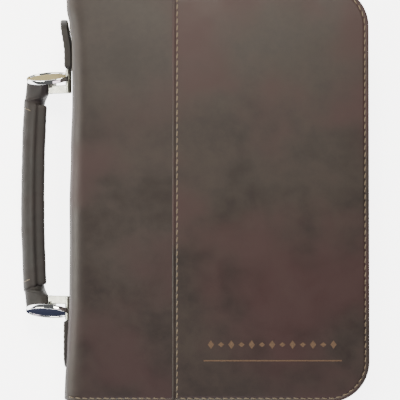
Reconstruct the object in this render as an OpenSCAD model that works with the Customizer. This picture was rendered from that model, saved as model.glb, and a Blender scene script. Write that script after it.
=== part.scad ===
// Zip-round Bible case in leather, with a padded carrying handle on its spine and a Bible inside.
// Millimetres. +Z is up, out of the front cover. +Y runs along the spine. The spine is at -X.
// The origin is the middle of the back cover's outer face, on which the closed case lies.

/* [Case] */
// Width of the closed case, spine face to fore-edge
case_w = 183; // [150:1:230]
// Height of the case along the spine
case_h = 254; // [225:1:310]
// Thickness of the closed case
case_t = 48; // [40:1:64]
// Radius of the two fore-edge corners
corner_r = 25; // [16:1:34]
// Leather and padding of the front and back panels
leather_t = 2.4; // [1.6:0.1:3.2]
// Height by which the main panel stands over the wrap it laps
lap_step = 0.5; // [0.2:0.1:0.9]
// Distance of the lapped seam from the spine face
seam_from_spine = 62.6; // [45:0.2:75]
// Stiff board inside each cover
board_t = 1.6; // [1:0.1:2.4]
// Lining inside each cover
lining_t = 0.8; // [0.5:0.1:1.2]
// Free strip without board along the spine folds
fold_w = 5.5; // [4:0.5:8]
// Distance of the spine's ends from the covers' ends
spine_end_in = 1.2; // [0.8:0.1:3]
// Gap kept between the spine's layers and the covers' layers
fold_gap = 0.3; // [0.2:0.05:0.6]

/* [Gusset and zip] */
// Overhang of the panels past the gusset wall
gusset_inset = 2.5; // [1.8:0.1:4]
// Thickness of the leather gusset wall
gusset_t = 1.6; // [1:0.1:2.2]
// Width of the slot between the two gusset walls
zip_slot = 8.4; // [7.5:0.1:10]
// Thickness of the zip tape
tape_t = 0.8; // [0.5:0.1:1.2]
// Width of one half of the tape
tape_w = 8.9; // [7:0.1:11]
// Height of one coil across the chain
coil_w = 2.3; // [1.6:0.1:2.6]
// Depth of one coil off its tape
coil_t = 1.5; // [1:0.1:1.8]
// Gap between the two coils, in which the slider's post runs
coil_gap = 0.8; // [0.6:0.1:1.2]
// Length of a metal stop at the end of the chain
stop_l = 2.4; // [1.5:0.1:4]

/* [Slider and pull] */
// Length of the slider's plates
slider_l = 12; // [9:0.5:16]
// Width of the slider's plates across the chain
slider_w = 9; // [7:0.5:12]
// Thickness of the slider's outer and inner plates
plate_t = 1.3; // [0.9:0.1:1.8]
// Gap between a plate and the wall or tape it slides past
slider_gap = 0.4; // [0.3:0.05:0.7]
// Distance of the closed slider's centre from the spine face
slider_from_spine = 15.5; // [14:0.5:30]
// Length of the bail over the pull's cross pin
bail_l = 7.2; // [6:0.2:9]
// Width of the bail
bail_w = 2; // [1.4:0.1:2.6]
// Thickness of the bail's metal
bail_t = 0.9; // [0.7:0.1:1.4]
// Radius of the pull's cross pin
pull_pin_r = 0.6; // [0.5:0.05:0.8]
// Running gap round the pull's cross pin
pull_gap = 0.2; // [0.15:0.05:0.3]
// Length of the pull from its cross pin to its tip
pull_l = 20; // [14:0.5:28]
// Width of the pull
pull_w = 6; // [5.4:0.2:9]

/* [Bible] */
// Gap between the Bible's covers and the case's sleeves
bible_gap = 0.7; // [0.5:0.1:3]
// Thickness of the Bible's own leather covers
bible_cover_t = 2; // [1.2:0.1:3]
// Thickness of the case's inner sleeves
sleeve_t = 0.8; // [0.5:0.1:1.2]
// Width of an inner sleeve, from its open edge to the fore-edge
sleeve_w = 64; // [40:1:80]
// Margin by which the covers stand past the pages
page_margin = 3; // [1.5:0.5:5]
// Gap between the last page and the front sleeve
block_gap = 0.6; // [0.4:0.1:2]
// Width of the ribbon marker
ribbon_w = 6; // [3:0.5:10]
// Thickness of the ribbon marker
ribbon_t = 0.2; // [0.15:0.05:0.3]

/* [Handle tabs] */
// Thickness of a leather tab on the spine
tab_t = 4.6; // [4.2:0.1:6]
// Width of a tab across the spine
tab_w = 20; // [12:0.5:24]
// Length of a tab along the spine
tab_l = 29.6; // [20:0.5:32]
// Distance of a tab's outer end from the spine's end
tab_from_end = 17.8; // [8:0.2:30]
// Radius of the pin on which a fitting swings
rod_r = 1.2; // [0.9:0.05:1.4]
// Running gap between the pin and the fitting's eye
rod_gap = 0.05; // [0.03:0.01:0.1]
// Length of the pin held inside the tab
rod_grip = 9; // [6:0.5:16]

/* [Handle fittings] */
// Length of an oval cap, away from the spine
cap_l = 28.8; // [24:0.2:34]
// Width of an oval cap
cap_w = 17; // [14:0.5:20]
// Thickness of an oval cap
cap_t = 2.2; // [1.6:0.1:3]
// Height of the cap's raised rim
rim_h = 0.6; // [0.3:0.1:1]
// Width of the cap's raised rim
rim_w = 1.4; // [0.8:0.1:2]
// Reach of the cap past the pin axis, towards the spine
cap_past_pin = 0.7; // [0.2:0.1:1]
// Tilt of the caps about the line away from the spine
cap_tilt = 25; // [10:1:35]
// Outer radius of the fitting's eye
eye_r = 1.9; // [1.7:0.05:2.2]
// Gap between the eye and the spine's face
eye_gap = 0.5; // [0.4:0.05:0.8]
// Width of the fitting's arm along the spine
arm_w = 5; // [3.5:0.5:7]
// Height of the arm
arm_h = 3.2; // [2.4:0.1:3.6]

/* [Grip] */
// Outer diameter of the padded grip
grip_d = 13.8; // [11:0.2:17]
// Thickness of the grip's leather sleeve
sleeve_wall = 1.4; // [1:0.1:1.8]
// Length of the strap left bare between a cap and the grip
neck_l = 12.4; // [11:0.1:22]
// Distance of the grip's ends from the pin axis, away from the spine
grip_out = 27; // [22:0.5:36]
// Drop of the grip below the plane of the arms
grip_drop = 8; // [3:0.5:12]
// Outward bow of the grip at its middle
grip_bow = 2; // [0.5:0.1:6]
// Width of the strap that runs through the grip
strap_w = 8; // [5:0.5:9]
// Thickness of the strap that runs through the grip
strap_t = 2.6; // [1.6:0.1:3.4]
// Width of the strap where the fitting holds it
strap_end_w = 14; // [10:0.5:15]
// Thickness of the strap where the fitting holds it
strap_end_t = 6; // [4:0.5:7]
// Diameter of the strap's neck beside the sleeve
neck_d = 12.6; // [8:0.2:13]
// Radius of the rivet that holds the strap
rivet_r = 1.4; // [1:0.1:1.8]
// Gap left between the resting grip and the surface under the case
floor_gap = 0.4; // [0.3:0.1:2]

/* [Hidden] */
$fn = 96;

// Levels of the layers, counted up from the outer face of a cover
wrap_out = lap_step;
board_z = leather_t;
lining_z = board_z + board_t;
cover_t = lining_z + lining_t;
bible_z = cover_t + 0.2;
sleeve_z = bible_z + bible_cover_t;
block_z = sleeve_z + sleeve_t + 0.1;
block_t = case_t - 2 * (sleeve_z + sleeve_t) - 0.1 - block_gap;

// Lines in plan: each is an inset from the case's outline
wall_in = gusset_inset + gusset_t;
tape_in = wall_in + tape_t;
sleeve_in = tape_in + 2 * slider_gap + plate_t + 0.3;
seam_w = 0.5;
bible_in = sleeve_in + seam_w + bible_gap;
block_in = bible_in + page_margin;

spine_x = -case_w / 2;
fore_x = case_w / 2;
seam_x = spine_x + seam_from_spine;
fold_x = spine_x + fold_w;
chain_x = fold_x + 0.5;
spine_in = spine_x + cover_t;
bible_x = spine_in + 1;
block_x = bible_x + bible_cover_t + 0.3;
mid_z = case_t / 2;

// Slider and pull, on the gusset wall at the lower end of the case
slide_x = spine_x + slider_from_spine;
plate_y = -case_h / 2 + gusset_inset - slider_gap;
pin_y = plate_y - plate_t - pull_gap - pull_pin_r;
post_l = 3;
post_t = coil_gap - 0.3;
flange_t = 0.9;
window_r = norm([bail_l / 2, pull_pin_r + pull_gap + bail_t]) + 0.25;

// Pins, fittings and grip. The handle is drawn about the pin axis, in line with the covers, and
// is then let down until the grip lies just over the surface under the case.
pin_x = spine_x - eye_gap - eye_r;
cap_mid_x = cap_past_pin - cap_l / 2;
cap_reach_y = cap_w / 2 * sin(cap_tilt) + (cap_t + rim_h) * cos(cap_tilt);
tab_y = case_h / 2 - spine_end_in - tab_from_end - tab_l;
cap_face_y = tab_y - cap_reach_y - 0.4;
eye_end_y = tab_y - 0.3;
arm_y = cap_face_y - 8.5;
post_x = -12.5;
strap_x = -cap_l + strap_end_w / 2 + cap_past_pin + 1;
tongue_l = 8;
tongue_t = 1.4;
grip_r = grip_d / 2;
grip_l = 2 * (cap_face_y - neck_l);
bow_r = (grip_l * grip_l / 4 + grip_bow * grip_bow) / (2 * grip_bow);
bow_a = asin(grip_l / 2 / bow_r);
bow_x = bow_r - grip_out - grip_bow;
droop = asin((mid_z - grip_r - floor_gap) / norm([grip_out + grip_bow / 2, grip_drop]))
    - atan2(grip_drop, grip_out + grip_bow / 2);

// Outline of the case, moved in by d, and cut straight at x0 on the spine side
module outline(d, x0) {
    cx = fore_x - corner_r;
    cy = case_h / 2 - corner_r;
    translate([x0, -case_h / 2 + d]) square([cx - x0, case_h - 2 * d]);
    translate([cx - 1, -cy]) square([corner_r - d + 1, 2 * cy]);
    for (s = [-1, 1]) translate([cx, s * cy]) circle(corner_r - d);
}

// A sheet of the outline between two levels
module sheet(d, x0, z0, z1) {
    translate([0, 0, z0]) linear_extrude(z1 - z0) outline(d, x0);
}

// A wall along the outline, open at the spine side, between two insets and two levels
module wall(d0, d1, x0, z0, z1) {
    translate([0, 0, z0]) linear_extrude(z1 - z0) difference() {
        outline(d0, x0);
        outline(d1, x0 - 1);
    }
}

// The front cover is the back cover mirrored in the middle plane
module as_front() {
    translate([0, 0, case_t]) mirror([0, 0, 1]) children();
}

// Outer leather
module cover_panel() {
    color("#4b3f38") sheet(0, seam_x, 0, leather_t);
}
module cover_wrap() {
    color("#45392f") translate([spine_x, -case_h / 2, wrap_out])
        cube([seam_x - spine_x, case_h, leather_t - wrap_out]);
}
module cover_board() {
    color("#8a8378") sheet(wall_in + 0.2, fold_x, board_z, lining_z);
}
module cover_lining() {
    color("#2c2723") sheet(wall_in + 0.2, fold_x, lining_z, cover_t);
}
// Pocket that holds one cover of the Bible: a sheet with a stitched edge on three sides
module cover_sleeve() {
    color("#3a322c") {
        sheet(sleeve_in, fore_x - sleeve_w, sleeve_z, sleeve_z + sleeve_t);
        wall(sleeve_in, sleeve_in + seam_w, fore_x - sleeve_w, cover_t, sleeve_z);
    }
}
module cover_gusset() {
    color("#41362f") wall(gusset_inset, wall_in, chain_x, leather_t, mid_z - zip_slot / 2);
}
module cover_tape() {
    color("#1f1b18") wall(wall_in, tape_in, chain_x,
        mid_z - coil_gap / 2 - 0.7 - tape_w, mid_z - coil_gap / 2 - 0.7);
}
module cover_coil() {
    color("#2a2521") wall(wall_in - coil_t, wall_in, chain_x + stop_l,
        mid_z - coil_gap / 2 - coil_w, mid_z - coil_gap / 2);
}
module bible_cover() {
    color("#1d1a1c") sheet(bible_in, block_x, bible_z, sleeve_z);
}

module zip_stops() {
    stop_z = mid_z - coil_gap / 2 - coil_w;
    color("silver") for (s = [-1, 1]) {
        y0 = s * (case_h / 2 - wall_in + coil_t / 2);
        translate([chain_x, y0 - coil_t / 2, stop_z]) cube([stop_l, coil_t, coil_w]);
    }
}
module text_block() {
    color("#e9e0cc") sheet(block_in, block_x + 0.6, block_z, block_z + block_t);
}
module headbands() {
    band_h = 1.2;
    color("#b8862f") for (s = [-1, 1])
        translate([block_x + 0.6, s * (case_h / 2 - block_in + band_h / 2) - band_h / 2, block_z])
            cube([2, band_h, block_t]);
}
module ribbon_marker() {
    ribbon_x = block_x + 40;
    ribbon_h = case_h - 2 * block_in;
    fall = 14;
    color("#6d1f23") {
        translate([ribbon_x, -ribbon_h / 2, block_z + block_t]) cube([ribbon_w, ribbon_h, ribbon_t]);
        translate([ribbon_x, -ribbon_h / 2 - ribbon_t, block_z + block_t - fall])
            cube([ribbon_w, ribbon_t, fall + ribbon_t]);
    }
}

// Spine, between the two covers
module spine_layer(x0, x1, z_gap) {
    translate([x0, -case_h / 2 + spine_end_in, cover_t + z_gap])
        cube([x1 - x0, case_h - 2 * spine_end_in, case_t - 2 * cover_t - 2 * z_gap]);
}
module spine_wrap() {
    color("#45392f") spine_layer(spine_x, spine_x + leather_t, fold_gap);
}
module spine_board() {
    color("#8a8378") spine_layer(spine_x + leather_t, spine_x + leather_t + board_t, fold_gap + 1);
}
module spine_lining() {
    color("#2c2723") spine_layer(spine_x + leather_t + board_t, spine_in, fold_gap);
}
module bible_spine() {
    color("#1d1a1c") translate([bible_x, -case_h / 2 + bible_in, sleeve_z + 0.3])
        cube([bible_cover_t, case_h - 2 * bible_in, case_t - 2 * sleeve_z - 0.6]);
}

// Leather tab of the upper end: a strip with one rounded end, bored for its pin
module tab() {
    end_r = tab_w / 2;
    color("#2e2621") difference() {
        translate([spine_x - tab_t, 0, 0]) rotate([90, 0, 90]) linear_extrude(tab_t) {
            translate([tab_y, mid_z - end_r]) square([tab_l - end_r, tab_w]);
            translate([tab_y + tab_l - end_r, mid_z]) circle(end_r);
        }
        translate([pin_x, tab_y - 1, mid_z]) rotate([-90, 0, 0]) cylinder(r = rod_r, h = rod_grip + 1);
    }
}
module hinge_pin() {
    color("silver") translate([pin_x, arm_y, mid_z]) rotate([-90, 0, 0])
        cylinder(r = rod_r, h = tab_y + rod_grip - arm_y);
}

// Places its children about the pin axis, with the handle let down to rest
module hung() {
    translate([pin_x, 0, mid_z]) rotate([0, -droop, 0]) children();
}
// Frame on the inner face of the upper cap: its +Y is the cap's outward normal
module cap_frame(x) {
    translate([x, cap_face_y, 0]) rotate([cap_tilt, 0, 0]) children();
}
// Upper metal fitting: an eye on the pin, an arm, a post to the cap and a tongue under the strap
module fitting() {
    tongue_z = -strap_end_t / 2 - tongue_t;
    rib_x = strap_x + strap_end_w / 2 + 0.2;
    color("#c9ccd0") hung() difference() {
        union() {
            translate([0, arm_y, 0]) rotate([-90, 0, 0]) cylinder(r = eye_r, h = eye_end_y - arm_y);
            translate([rib_x, arm_y, -arm_h / 2]) cube([-rib_x, arm_w, arm_h]);
            cap_frame(rib_x) {
                translate([0, -tongue_l, tongue_z]) cube([2, tongue_l, arm_h / 2 - tongue_z + 2]);
                translate([-strap_end_w + 1, -tongue_l, tongue_z]) cube([strap_end_w, tongue_l, tongue_t]);
            }
        }
        translate([0, arm_y - 1, 0]) rotate([-90, 0, 0])
            cylinder(r = rod_r + rod_gap, h = eye_end_y - arm_y + 2);
        cap_frame(strap_x) translate([0, -4, tongue_z - 1]) cylinder(r = rivet_r, h = tongue_t + 2);
    }
}
module oval(l, w) {
    resize([l, w]) circle(d = l, $fn = 72);
}
// Oval cap of the upper fitting, dished between its raised rim
module cap() {
    color("#dfe2e6") hung() cap_frame(cap_mid_x) rotate([-90, 0, 0]) difference() {
        linear_extrude(cap_t + rim_h) oval(cap_l, cap_w);
        translate([0, 0, cap_t]) linear_extrude(rim_h + 1) oval(cap_l - 2 * rim_w, cap_w - 2 * rim_w);
        rotate([90, 0, 0]) translate([-cap_mid_x, 0, 0]) eye_room();
    }
}
// Room that the cap leaves round the eye, which passes behind its inner tip
module eye_room() {
    rotate([-cap_tilt, 0, 0]) translate([0, -cap_l, 0]) rotate([-90, 0, 0])
        cylinder(r = eye_r + 0.1, h = 2 * cap_l);
}
// Places its children on the grip's bowed centre line, at an angle from its middle
module on_bow(a) {
    translate([bow_x, 0, -grip_drop]) rotate([0, 0, 180 - a]) translate([bow_r, 0, 0]) children();
}
// A stretch of the bowed grip: its children are the section
module bowed(a0, a1) {
    translate([bow_x, 0, -grip_drop]) rotate([0, 0, 180 + a0])
        rotate_extrude(angle = a1 - a0, $fn = 720) translate([bow_r, 0]) children();
}
// A straight, round-sided stretch of the strap in the fitting, from the cap's inner face
module strap_seat(y0, y1) {
    translate([0, y0, 0]) rotate([90, 0, 0]) linear_extrude(y0 - y1) {
        square([strap_end_w - strap_end_t, strap_end_t], center = true);
        for (s = [-1, 1]) translate([s * (strap_end_w - strap_end_t) / 2, 0]) circle(d = strap_end_t, $fn = 32);
    }
}
module strap_end() {
    cap_frame(strap_x) strap_seat(0, -tongue_l - 0.4);
    hull() {
        on_bow(bow_a) translate([0, -0.4, 0]) rotate([90, 0, 0]) cylinder(d = neck_d, h = 0.6, $fn = 32);
        cap_frame(strap_x) strap_seat(-tongue_l - 0.3, -tongue_l - 0.5);
    }
}
module handle_strap() {
    extra = 2 / bow_r * 180 / PI;
    color("#221c18") hung() difference() {
        union() {
            bowed(-bow_a - extra, bow_a + extra) square([strap_w, strap_t], center = true);
            for (m = [0, 1]) mirror([0, m, 0]) strap_end();
        }
        for (m = [0, 1]) mirror([0, m, 0]) rivet_at() cylinder(r = rivet_r, h = strap_end_t + 1);
    }
}
module rivet_at() {
    cap_frame(strap_x) translate([0, -4, -strap_end_t / 2 - 2]) children();
}
module strap_rivets() {
    head_t = 0.8;
    color("silver") hung() for (m = [0, 1]) mirror([0, m, 0]) rivet_at() {
        translate([0, 0, 2 - tongue_t]) cylinder(r = rivet_r, h = tongue_t + strap_end_t - 2);
        translate([0, 0, 2 - tongue_t - head_t]) cylinder(r = 2 * rivet_r, h = head_t);
    }
}
module grip_padding() {
    color("#8b7f70") hung() bowed(-bow_a, bow_a) difference() {
        circle(grip_r - sleeve_wall);
        square([strap_w, strap_t], center = true);
    }
}
module grip_sleeve() {
    color("#3b2f28") hung() bowed(-bow_a, bow_a) difference() {
        circle(grip_r);
        circle(grip_r - sleeve_wall);
    }
}

// Slider: an outer and an inner plate, the post between the coils, and a flange under the chain
module slider_body() {
    inner_y = -case_h / 2 + tape_in + slider_gap;
    flange_z = mid_z - coil_gap / 2 - coil_w - 0.2 - flange_t;
    flange_y = -case_h / 2 + wall_in - slider_gap;
    color("silver") {
        translate([slide_x - slider_l / 2, plate_y - plate_t, mid_z - slider_w / 2])
            cube([slider_l, plate_t, slider_w]);
        translate([slide_x - slider_l / 2, inner_y, mid_z - slider_w / 2])
            cube([slider_l, plate_t, slider_w]);
        translate([slide_x - post_l / 2, plate_y - 0.2, mid_z - post_t / 2])
            cube([post_l, inner_y - plate_y + 0.4, post_t]);
        translate([slide_x - slider_l / 2, plate_y - 0.2, flange_z])
            cube([slider_l, flange_y - plate_y + 0.2, flange_t]);
    }
}
module slider_bail() {
    rise = 2 * (pull_pin_r + pull_gap);
    color("silver") translate([slide_x, plate_y - plate_t, mid_z]) difference() {
        translate([-bail_l / 2, -rise - bail_t, -bail_w / 2]) cube([bail_l, rise + bail_t, bail_w]);
        translate([-bail_l / 2 + bail_t, -rise, -bail_w / 2 - 1])
            cube([bail_l - 2 * bail_t, rise + 1, bail_w + 2]);
    }
}
// Pull: a flat tab with a window for the bail, and its cross pin at the window's end
module zip_pull() {
    tip_r = pull_w / 2;
    thick = 2 * pull_pin_r;
    side = bail_w / 2 + 0.3;
    color("silver") translate([slide_x, pin_y, mid_z]) {
        cylinder(r = pull_pin_r, h = 2 * side + 0.4, center = true);
        rotate([90, 0, 0]) linear_extrude(thick, center = true) difference() {
            union() {
                translate([0, -tip_r]) square([pull_l - tip_r, pull_w]);
                translate([pull_l - tip_r, 0]) circle(tip_r);
            }
            translate([-1, -side]) square([window_r + 1, 2 * side]);
            translate([pull_l - 2 * tip_r - 2, -tip_r / 2]) square([tip_r, tip_r]);
        }
    }
}

module back_panel() { cover_panel(); }
module back_wrap() { cover_wrap(); }
module back_board() { cover_board(); }
module back_lining() { cover_lining(); }
module back_sleeve() { cover_sleeve(); }
module back_gusset() { cover_gusset(); }
module back_zip_tape() { cover_tape(); }
module back_zip_coil() { cover_coil(); }
module bible_back_cover() { bible_cover(); }
module front_panel() { as_front() cover_panel(); }
module front_wrap() { as_front() cover_wrap(); }
module front_board() { as_front() cover_board(); }
module front_lining() { as_front() cover_lining(); }
module front_sleeve() { as_front() cover_sleeve(); }
module front_gusset() { as_front() cover_gusset(); }
module front_zip_tape() { as_front() cover_tape(); }
module front_zip_coil() { as_front() cover_coil(); }
module bible_front_cover() { as_front() bible_cover(); }
module upper_tab() { tab(); }
module lower_tab() { mirror([0, 1, 0]) tab(); }
module upper_hinge_pin() { hinge_pin(); }
module lower_hinge_pin() { mirror([0, 1, 0]) hinge_pin(); }
module upper_fitting() { fitting(); }
module lower_fitting() { mirror([0, 1, 0]) fitting(); }
module upper_cap() { cap(); }
module lower_cap() { mirror([0, 1, 0]) cap(); }

back_panel();
back_wrap();
back_board();
back_lining();
back_sleeve();
back_gusset();
back_zip_tape();
back_zip_coil();
zip_stops();
bible_back_cover();
text_block();
headbands();
ribbon_marker();
spine_wrap();
spine_board();
spine_lining();
upper_tab();
lower_tab();
upper_hinge_pin();
lower_hinge_pin();
bible_spine();
front_panel();
front_wrap();
front_board();
front_lining();
front_sleeve();
front_gusset();
front_zip_tape();
front_zip_coil();
bible_front_cover();
upper_fitting();
lower_fitting();
upper_cap();
lower_cap();
handle_strap();
strap_rivets();
grip_padding();
grip_sleeve();
slider_body();
slider_bail();
zip_pull();
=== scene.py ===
# %% [markdown]
# # A zip-round leather case with a carrying handle, and the Bible in it
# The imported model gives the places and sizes. This lesson builds what the eye sees on top of it:
# puffed leather panels with a lapped seam, real stitches, a coil zip, polished fittings and a book.
# Everything is in metres. +Y runs along the spine, and +Z comes out of the front cover.

# %% Load the fixed frame
import math

import bmesh
import bpy
from mathutils import Matrix, Vector, noise


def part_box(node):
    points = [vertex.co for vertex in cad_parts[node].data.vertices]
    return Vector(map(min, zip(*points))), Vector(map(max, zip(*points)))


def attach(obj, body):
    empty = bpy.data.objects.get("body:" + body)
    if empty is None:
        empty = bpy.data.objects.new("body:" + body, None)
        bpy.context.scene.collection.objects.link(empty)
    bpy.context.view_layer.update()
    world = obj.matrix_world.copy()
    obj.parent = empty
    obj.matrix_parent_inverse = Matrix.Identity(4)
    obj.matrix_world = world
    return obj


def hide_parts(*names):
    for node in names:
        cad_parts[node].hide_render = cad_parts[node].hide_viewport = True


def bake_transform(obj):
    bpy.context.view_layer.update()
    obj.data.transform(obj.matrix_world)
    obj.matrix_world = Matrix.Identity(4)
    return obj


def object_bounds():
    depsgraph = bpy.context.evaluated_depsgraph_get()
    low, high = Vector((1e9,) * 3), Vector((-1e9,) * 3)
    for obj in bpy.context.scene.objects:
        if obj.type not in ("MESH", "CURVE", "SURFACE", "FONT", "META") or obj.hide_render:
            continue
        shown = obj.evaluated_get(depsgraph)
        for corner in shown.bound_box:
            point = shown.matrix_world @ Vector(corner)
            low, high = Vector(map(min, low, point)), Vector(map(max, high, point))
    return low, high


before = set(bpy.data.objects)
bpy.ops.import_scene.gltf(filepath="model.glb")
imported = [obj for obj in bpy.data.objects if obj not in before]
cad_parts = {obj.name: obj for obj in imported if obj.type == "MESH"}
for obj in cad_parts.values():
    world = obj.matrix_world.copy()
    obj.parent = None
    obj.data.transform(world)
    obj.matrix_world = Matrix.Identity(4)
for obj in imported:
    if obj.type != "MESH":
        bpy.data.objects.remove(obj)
cad_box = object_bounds()
MM = 0.001
print("CAD box:", [tuple(round(c / MM, 1) for c in corner) for corner in cad_box])

# %% [markdown]
# ## The camera
# The case lies on a white table and is seen from straight above, so the camera looks down.
# A camera could stand close with a wide lens, but then the case's sides would show. So it stands
# 0.85 m off and sees a square 0.24 m wide. Its tilt is slight: the lower end is a little nearer.

# %% Camera
CAMERA_HEIGHT = 0.85
CAMERA_TILT = math.radians(1.2)
VIEW_SIDE = 0.2432
TARGET = Vector((-0.0116, -0.004, cad_box[1].z))


def aim(item, place, target):
    """Puts a lamp, card or camera at a place, looking at a target."""
    item.location = place
    item.rotation_euler = (Vector(target) - Vector(place)).to_track_quat("-Z", "Y").to_euler()
    bpy.context.scene.collection.objects.link(item)
    return item


lens = bpy.data.cameras.new("camera")
lens.angle = 2 * math.atan(VIEW_SIDE / 2 / CAMERA_HEIGHT)
lens.clip_start = 0.01
back_off = Vector((0, -math.sin(CAMERA_TILT), math.cos(CAMERA_TILT))) * CAMERA_HEIGHT
bpy.context.scene.camera = aim(bpy.data.objects.new("camera", lens), TARGET + back_off, TARGET)
print("camera", round(CAMERA_HEIGHT, 3), "m over the cover, angle", round(math.degrees(lens.angle), 1))

# %% [markdown]
# ## Materials: two small helpers
# A material is a graph of nodes. One function adds a node with its settings and links, and one
# turns the sRGB hex colours that a maker's swatch book gives into linear light.

# %% The node helper and the colour helper
def srgb(code):
    """Linear colour, with alpha, from an sRGB hex code such as 5a4a42."""
    values = [int(code[i:i + 2], 16) / 255 for i in (0, 2, 4)]
    return tuple(v / 12.92 if v <= 0.04045 else ((v + 0.055) / 1.055) ** 2.4 for v in values) + (1,)


def grey(level):
    """A grey, for a stop whose colour stands for a number."""
    return (level, level, level, 1)


def add(tree, kind, settings=None, stops=(), **inputs):
    """Adds a node. settings are its properties. inputs are values or (node, output) links.

    An input is named, with _ for a space, or given as its number, such as _6, on a Mix node, whose
    inputs share names. stops are the (position, colour) pairs of a colour ramp."""
    node = tree.nodes.new(kind)
    for name, value in (settings or {}).items():
        setattr(node, name, value)
    for place, (at, colour) in enumerate(stops):
        node.color_ramp.elements[place].position = at
        node.color_ramp.elements[place].color = colour
    for name, value in inputs.items():
        key = int(name[1:]) if name[0] == "_" else name.replace("_", " ")
        if isinstance(value, tuple) and isinstance(value[0], bpy.types.Node):
            tree.links.new(value[0].outputs[value[1]], node.inputs[key])
        else:
            node.inputs[key].default_value = value
    return node


def material(name, **shader):
    """A new material with its tree, its surface shader and the place on the object."""
    made = bpy.data.materials.new(name)
    made.use_nodes = True
    tree = made.node_tree
    surface = tree.nodes["Principled BSDF"]
    for key, value in shader.items():
        surface.inputs[key.replace("_", " ")].default_value = value
    place = add(tree, "ShaderNodeTexCoord")
    return made, tree, surface, place


print("taupe 5a4a42 in linear light:", [round(c, 3) for c in srgb("5a4a42")])

# %% [markdown]
# ## Leather
# The covers are oil-finished split leather: a smooth, waxy top coat over a nap that took the dye
# unevenly. The eye reads it as clouds of taupe and red-brown about 30 mm across, rubbed spots of
# about 5 mm, a fine grain under half a millimetre, and a broad soft sheen. Noise at each of those
# sizes gives all of it, has no seams and never repeats, which a painted picture wrapped on would.
# The grain of 0.45 mm is finer than this view can show. It only breaks up the sheen, and wrinkles
# six times as large stand in for it from afar.

# %% Leather materials
def leather(name, dark, mid, warm, cloud_mm=32, grain_mm=0.45, rough=(0.42, 0.60), grain=0.12, seed=0.0):
    """Dyed leather. dark, mid and warm are the colours of its clouds. rough goes from worn to dry."""
    made, tree, surface, place = material(name, IOR=1.45)
    shifted = add(tree, "ShaderNodeMapping", Vector=(place, "Object"),
                  Location=(seed, seed * 0.7, seed * 0.3))
    at = (shifted, "Vector")
    clouds = add(tree, "ShaderNodeTexNoise", Vector=at, Scale=1 / (cloud_mm * MM), Detail=8.0,
                 Roughness=0.6, Distortion=0.25)
    patches = add(tree, "ShaderNodeTexNoise", Vector=at, Scale=1 / (2.0 * cloud_mm * MM), Detail=3.0)
    rubbed = add(tree, "ShaderNodeTexNoise", Vector=at, Scale=1 / (0.16 * cloud_mm * MM), Detail=6.0,
                 Roughness=0.7)
    mottled = add(tree, "ShaderNodeMix", {"data_type": "FLOAT"}, _0=0.38, _2=(clouds, "Fac"),
                  _3=(rubbed, "Fac"))
    blend_dark = add(tree, "ShaderNodeValToRGB", stops=[(0.32, srgb(dark)), (0.66, srgb(mid))],
                     Fac=(mottled, "Result"))
    warmth = add(tree, "ShaderNodeValToRGB", stops=[(0.42, grey(0)), (0.66, grey(0.85))],
                 Fac=(patches, "Fac"))
    for soft in (blend_dark, warmth):
        soft.color_ramp.interpolation = "EASE"
    dyed = add(tree, "ShaderNodeMix", {"data_type": "RGBA"}, _0=(warmth, "Color"),
               _6=(blend_dark, "Color"), _7=srgb(warm))
    pores = add(tree, "ShaderNodeTexVoronoi", {"feature": "DISTANCE_TO_EDGE"}, Vector=at,
                Scale=1 / (grain_mm * MM))
    pits = add(tree, "ShaderNodeValToRGB", stops=[(0.0, grey(0)), (0.18, grey(1))],
               Fac=(pores, "Distance"))
    wrinkles = add(tree, "ShaderNodeTexNoise", Vector=at, Scale=1 / (6 * grain_mm * MM), Detail=6.0)
    relief = add(tree, "ShaderNodeMix", {"data_type": "FLOAT"}, _0=0.55, _2=(pits, "Color"),
                 _3=(wrinkles, "Fac"))
    bump = add(tree, "ShaderNodeBump", Strength=grain, Distance=0.1 * MM, Height=(relief, "Result"))
    polish = add(tree, "ShaderNodeValToRGB", stops=[(0.3, grey(rough[0])), (0.7, grey(rough[1]))],
                 Fac=(clouds, "Fac"))
    tree.links.new(dyed.outputs[2], surface.inputs["Base Color"])
    tree.links.new(polish.outputs["Color"], surface.inputs["Roughness"])
    tree.links.new(bump.outputs["Normal"], surface.inputs["Normal"])
    return made


COVER_LEATHER = leather("oiled_split_leather", "201816", "2e2621", "331e1e", seed=0.31)
WRAP_LEATHER = leather("oiled_split_leather_wrap", "211917", "2f2723", "301e1e", seed=0.87)
HANDLE_LEATHER = leather("waxed_strap_leather", "161413", "221e1d", "211b1a", cloud_mm=9, seed=0.12,
                         rough=(0.56, 0.72))
BIBLE_LEATHER = leather("bonded_leather_black", "151214", "1f1b1d", "1a1617", cloud_mm=12, grain_mm=0.9,
                        grain=0.5, seed=0.5)
SLEEVE_LEATHER = leather("skived_lining_leather", "33291f", "40342a", "3a2c24", cloud_mm=15, seed=0.66)
LEATHERS = (COVER_LEATHER, WRAP_LEATHER, HANDLE_LEATHER, BIBLE_LEATHER, SLEEVE_LEATHER)
print("leathers made:", [paint.name for paint in LEATHERS])
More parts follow.
